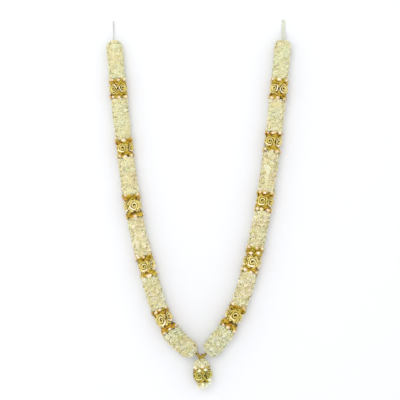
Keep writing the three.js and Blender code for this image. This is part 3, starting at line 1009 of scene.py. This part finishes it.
# roses: the first one's angle round the strand in half turns, how far down from the band's middle
# they sit, their length over their width, and where the first ones' lips lie, in degrees from
# down the strand; tips: how steeply the leaves rise at the two ends, and their size; drum: the
# band's girth; press: share of sidePress; shade: added to the roses' tone
def goldBand(name, node, route, start, end, roses, seed, tips=((1.0, 1.0), (1.0, 1.0)), drum=1.0,
             press=1.0, shade=0.0, olive=0.0):
    s = goldSettings
    turn, shift, stretch, lips = roses
    draw = Random(seed)
    middle = (start + end) / 2
    radius = s["drumRadius"] * drum
    body = [(start + 0.6, radius - 3), (start + 4, radius), (middle, radius + 0.5),
            (end - 4, radius), (end - 0.6, radius - 3)]
    # the drum takes the leaf ramp's darkest colour, painted shade for the gaps between roses and leaves
    parts = [turnedBody(body, s["drumSides"], leafGold, 0.0)]
    for edge, way, (rise, size) in ((start, 1, tips[0]), (end, -1, tips[1])):
        crowns = leafCrowns(abs(middle + shift - edge) - s["roseHalf"] * stretch)
        parts += bandLeaves(edge, way, crowns, turn, rise, size, drum, draw)
    parts += bandRing(middle + shift, turn, stretch, lips, drum, press, shade, draw)
    piece = joinCopies(parts, name)
    markPiece(piece, "olive", olive)
    layDown(piece, route)
    standFor(piece, "gold", node)


# Where each gold band starts and ends, in mm down its strand, and how its roses sit
bands = {
    "left": [(92, 126), (224, 256.5), (347, 389.5), (484.5, 523.5), (606, 651)],
    "right": [(91, 128), (208.5, 244), (341, 375.5), (464.5, 513.5), (598.5, 646)],
}
bandRoses = {
    "left": [(0.3, 0, 0.95, (-60, 135)), (0.58, 0, 0.95, (-30,)), (0.45, 0, 1.1, (-40,)),
             (0.6, 0, 1.05, (5,)), (0.59, -2, 1.2, (25,))],
    "right": [(0.3, 0, 1, (-45, 90)), (0.64, 0, 1, (-15,)), (0.6, 0, 1, (0,)), (0.5, 5.5, 1.1, (0,)),
              (0.48, -4, 1.15, (-20,))],
}
# How each length looks, from the top down: how far it blushes, how much its florets differ in
# tone, their size, the share of curly ones and how ragged they stand
creamLooks = {
    "left": [(0.2, 0.5, 0.96, 0.2, 1), (0.45, 0.5, 1, 0.3, 1.1), (0.95, 0.7, 1, 0.3, 1.3),
             (0.9, 2.2, 1, 0.4, 1.7), (0.4, 2.4, 1.06, 0.5, 1.9), (0.5, 3.2, 1.3, 0.9, 2.3)],
    "right": [(0, 0.5, 0.96, 0.2, 1.2), (0.85, 1.2, 1, 0.3, 1.4), (1, 2.4, 1, 0.4, 1.7),
              (0.9, 2.6, 1, 0.4, 1.8), (0.9, 3.2, 1.06, 0.5, 1.9), (0, 2.8, 1.3, 0.9, 2.3)],
}
strandEnds = {"topRound": {"left": 20, "right": 13}, "endRound": 20, "lastGirth": 1.07}
strandSeeds = {"left": 4, "right": 5}
for side, strandBands in bands.items():
    fullLength = routes[side][1]
    start = 0
    for index, band in enumerate(strandBands + [(fullLength, fullLength)]):
        isLast = index == len(strandBands)
        creamLength(f"creamFlorets{side.title()}{index + 1}", f"cream_{side}_{index + 1}", side, start,
                    band[0] - (0 if isLast else seatGap), 100 + 10 * index + strandSeeds[side],
                    creamLooks[side][index], topRound=0 if index else strandEnds["topRound"][side],
                    endRound=strandEnds["endRound"] if isLast else 0,
                    girth=strandEnds["lastGirth"] if isLast else 1.0)
        start = band[1] + seatGap
    for index, band in enumerate(strandBands):
        goldBand(f"goldRoses{side.title()}{index + 1}", f"gold_{side}_{index + 1}", side, *band,
                 bandRoses[side][index], 300 + 10 * index + strandSeeds[side])
    print("strand made:", side)

# The gold knot: two arms and a short middle one, each of three strands twisted together, and
# two turns of cord round the point where they meet
knotSettings = {
    "crest": 3.2,  # radii of the strands' crests and of the grooves between them, mm
    "groove": 1.6,
    "endGirth": 0.8,  # an arm's girth at its ends, and how much it swells between them
    "swell": 0.35,
    "twist": 34,  # degrees a step
    "steps": 14,
    "wrap": 3.9,  # radii of the turns of cord and of the cord itself
    "wrapCord": 1.1,
}


def twistedArm(route, girth):
    s = knotSettings
    arm = startDisc(12, s["crest"] * girth)
    selectWhere(lambda co: cos(3 * atan2(co.z, co.y)) < -0.5)
    scaleSelected(1, s["groove"] / s["crest"], s["groove"] / s["crest"])
    selectAll()
    scaleSelected(1, s["endGirth"], s["endGirth"])
    swell = s["endGirth"]
    stepLength = routes[route][1] / s["steps"]
    for step in range(1, s["steps"] + 1):
        nextSwell = s["endGirth"] + s["swell"] * sin(pi * step / s["steps"])
        extrudeSelected(stepLength * mm, 0, 0)
        turnSelected(s["twist"], "X")
        scaleSelected(1, nextSwell / swell, nextSwell / swell, (step * stepLength * mm, 0, 0))
        swell = nextSwell
    endSolid()
    arm.data.materials.append(ribbonGold)
    bpy.ops.object.shade_smooth_by_angle(angle=radians(60))
    groove, crest = s["groove"] * mm, s["crest"] * mm

    # the grooves are painted dark, as shade between the twisted strands, and the crests lighter
    def paintedGrooveShade(co):
        return min(1, max(0, (co.yz.length / girth - groove) / (crest - groove)) * 0.6 - 0.05)
    markGrowth(arm, paintedGrooveShade)
    layDown(arm, route)
    return arm


def knotWrap(distance, lean):
    s = knotSettings
    wrap = newObject(bpy.ops.mesh.primitive_torus_add, major_radius=s["wrap"] * mm,
                     minor_radius=s["wrapCord"] * mm, major_segments=20, minor_segments=8,
                     location=(distance * mm, 0, 0), rotation=(0, quarterTurn + lean, 0))
    applyPlace()
    bpy.ops.object.shade_smooth()
    wrap.data.materials.append(ribbonGold)
    # the cord is painted darker on its inner side, as shade where it wraps the arms
    markGrowth(wrap, lambda co: clamped((co.yz.length / mm - s["wrap"] + 0.8) * 0.5, 0.25, 0.7))
    layDown(wrap, "pendant")
    return wrap


knot = joinCopies([twistedArm("leftArm", 1.0), twistedArm("rightArm", 1.0),
                   twistedArm("middleArm", 0.85), knotWrap(-3.4, 0.2), knotWrap(-0.9, 0.1)], "goldKnot")
standFor(knot, "gold", "knot_gold")
print("knot made")

# The pendant: a tuft of large curly florets, a band of roses, and long buds below it
creamLength("creamTuft", "tuft_cream", "pendant", start=-4, end=15, seed=77,
            look=(0.5, 2, 1.6, 0.9, 1), topRound=14, girth=0.78)
goldBand("goldRosesPendant", "pendant_gold", "pendant", start=15.3, end=47,
         roses=(0.62, 0, 0.95, (0,)), seed=501, tips=((0.6, 0.85), (0.3, 0.62)), drum=1.06, press=0.2,
         shade=-1.0, olive=1.0)


# Loose buds that lie on the gold; a seat is its distance, its angle round the strand in half
# turns, its radius, lean and side
def looseBuds(name, route, model, seats, size, tone):
    buds = []
    for distance, angle, radius, lean, side in seats:
        place = onStrand(distance, angle * pi, radius, spin=0.7, lean=lean, side=side, size=size)
        buds.append(copyOf(model, place, tone))
    piece = joinCopies(buds, name)
    layDown(piece, route)
    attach(piece, "root")


looseBuds("creamBeadsRight4", "right", plumpBud,
          [(475.5, 0.55, 16.2, 0, 1.0), (472.0, 0.45, 16.2, 0, -1.0)], size=0.94, tone=0.4)
looseBuds("creamBeadsPendant", "pendant", paleBud,
          [(19.6, 0.52, 15.8, 0, 1.0), (19.0, 0.44, 15.8, 0, -1.0), (12.6, 0.72, 13.4, -0.2, 0.9),
           (41.0, 0.32, 16.6, 0.3, -0.9), (45.5, 0.5, 14.0, 1.1, 0.2)], size=0.86, tone=0.8)

# Rings of long buds that stand fuller to the right, with curly florets between them
fringeSettings = {
    # how many buds, distance, radius, lean outwards in radians, and size
    "rings": [(14, 47.6, 9.8, 0.8, 0.84), (11, 48.8, 6.6, 0.5, 0.92), (7, 49.8, 3.6, 0.26, 0.9),
              (2, 50.2, 0.9, 0.08, 0.86)],
    # how many florets, distance, radius and lean
    "florets": [(13, 47.2, 9.6, 0.75), (9, 49.0, 6.6, 1.05), (5, 50.6, 3.0, 1.35)],
    "core": [(46.6, 6.0), (47.2, 9.8), (49.6, 8.0), (51.2, 3.0)],  # distance and radius
    "coreSides": 14,
    "coreTint": 0.3,
    "earlier": 3.4,  # the buds on the right start this much further up, mm
    "sideLean": 0.3,  # lean out by this much more, radians
    "longer": 0.2,  # and are longer by this share
    "seed": 611,
}


def creamFringe():
    s = fringeSettings
    draw = Random(s["seed"])
    parts = [turnedBody(s["core"], s["coreSides"], petalSkin, s["coreTint"])]
    for count, distance, radius, lean in s["florets"]:
        for index in range(count):
            angle = (index + stray(draw, 0.15)) / count * tau
            place = onStrand(distance, angle, radius, spin=draw.uniform(0, tau),
                             lean=lean + stray(draw, 0.2), size=draw.uniform(0.85, 1.1))
            parts.append(copyOf(florets["curly"], place, draw.uniform(-2, 0)))
    for count, distance, radius, lean, size in s["rings"]:
        for index in range(count):
            angle = (index + 0.5 + stray(draw, 0.12)) / count * tau
            right = cos(angle)
            outwards = quarterTurn - lean - s["sideLean"] * right
            longer = 1 + s["longer"] * right
            place = onStrand(distance - s["earlier"] * right + stray(draw, 0.5), angle,
                             radius, spin=draw.uniform(0, tau),
                             lean=outwards + stray(draw, 0.12), side=stray(draw, 0.15),
                             size=size * longer * draw.uniform(0.92, 1.06))
            parts.append(copyOf(slimBud, place, draw.uniform(-1, 1.5)))
    fringe = joinCopies(parts, "creamFringe")
    layDown(fringe, "pendant")
    standFor(fringe, "cream", "fringe_cream")


creamFringe()
print("pendant made")

# The threads inside keep their solids
for name in ("thread_left", "thread_right", "thread_pendant"):
    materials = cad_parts[name].data.materials
    materials.clear()
    materials.append(threadCotton)

# Stage: pale floor, an even white room that is brightest a third of the way up, and one wide
# soft lamp overhead
stage = {
    "floor": "#ebebec",
    "lampPlace": (-0.45, 0.5, 1.8),  # m
    "lampTurn": (-0.24, -0.24, 0),
    "lampPower": 7,
    "lampSize": 1.0,
    "room": [(0.0, 1.1), (0.45, 1.14), (1.0, 1.02)],  # how far up, and how bright
    "tint": (0.98, 0.995, 1.03),
}
floor = newObject(bpy.ops.mesh.primitive_plane_add, size=8, location=(0, 0, -0.1 * mm))
floor.name = "floor"
floorPaint, tree = newMaterial("whiteFloor")
shader = addNode(tree, "BsdfPrincipled", {"Base Color": linearColour(stage["floor"]),
                                          "Roughness": 0.9, "Specular IOR Level": 0.1})
addNode(tree, "OutputMaterial", {"Surface": (shader, "BSDF")})
floor.data.materials.append(floorPaint)
lamp = newObject(bpy.ops.object.light_add, type="AREA", location=stage["lampPlace"],
                 rotation=stage["lampTurn"])
lamp.data.size = stage["lampSize"]
lamp.data.energy = stage["lampPower"]
world = bpy.data.worlds.new("studio")
world.use_nodes = True
tree = world.node_tree
tree.nodes.clear()
direction = addNode(tree, "TexCoord")
height = addNode(tree, "SeparateXYZ", {"Vector": (direction, "Generated")})
ramp = addNode(tree, "ValToRGB", {"Fac": (height, "Z")},
               [(place, [level * tint for tint in stage["tint"]] + [1])
                for place, level in stage["room"]])
room = addNode(tree, "Background", {"Color": (ramp, "Color"), "Strength": 1.0})
addNode(tree, "OutputWorld", {"Surface": (room, "Background")})
bpy.context.scene.world = world
print("stage made")
